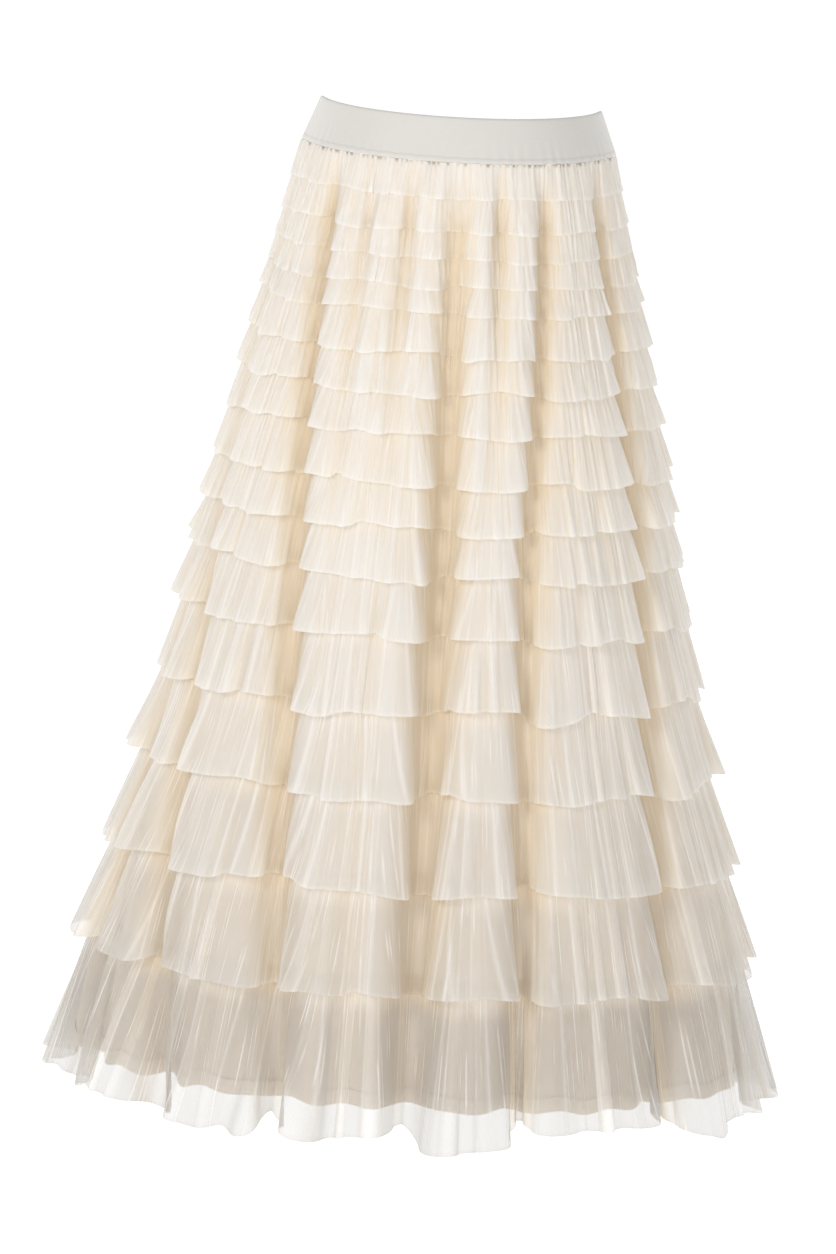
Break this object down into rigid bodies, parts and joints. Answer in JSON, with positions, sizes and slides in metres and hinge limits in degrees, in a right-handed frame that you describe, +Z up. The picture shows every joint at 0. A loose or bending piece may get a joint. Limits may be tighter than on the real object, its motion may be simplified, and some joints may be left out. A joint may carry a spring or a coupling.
{
  "type": "tiered tulle skirt",
  "caption": "Long A-line tulle skirt with a flat elastic waistband and gathered ruffles sewn in tiers on an opaque base skirt, filled out as worn.",
  "frame": {"origin": "centre of the waistband, on the skirt's upright axis, halfway down the band: where the wearer's waist holds it up", "axes": "+Z up towards the waist opening; the front faces -Y; +X to the right as the front is seen"},
  "size_m": [0.6128, 0.5369, 0.8371],
  "materials": {
    "elastic": "matte knitted elastic with a fine horizontal rib, ivory grey",
    "lining": "smooth opaque woven lining, warm beige, slight satin sheen",
    "tulle": "fine see-through net, warm ivory, soft sheen on its folds"
  },
  "bodies": {
    "root": {"waistband": "elastic", "base_skirt": "lining", "ruffle_01": "tulle", "ruffle_02": "tulle", "ruffle_03": "tulle", "ruffle_04": "tulle", "ruffle_05": "tulle", "ruffle_06": "tulle", "ruffle_07": "tulle", "ruffle_08": "tulle", "ruffle_09": "tulle", "ruffle_10": "tulle", "ruffle_11": "tulle", "ruffle_12": "tulle", "ruffle_13": "tulle", "ruffle_14": "tulle", "ruffle_15": "tulle", "ruffle_16": "tulle", "ruffle_17": "tulle"}
  },
  "joints": []
}
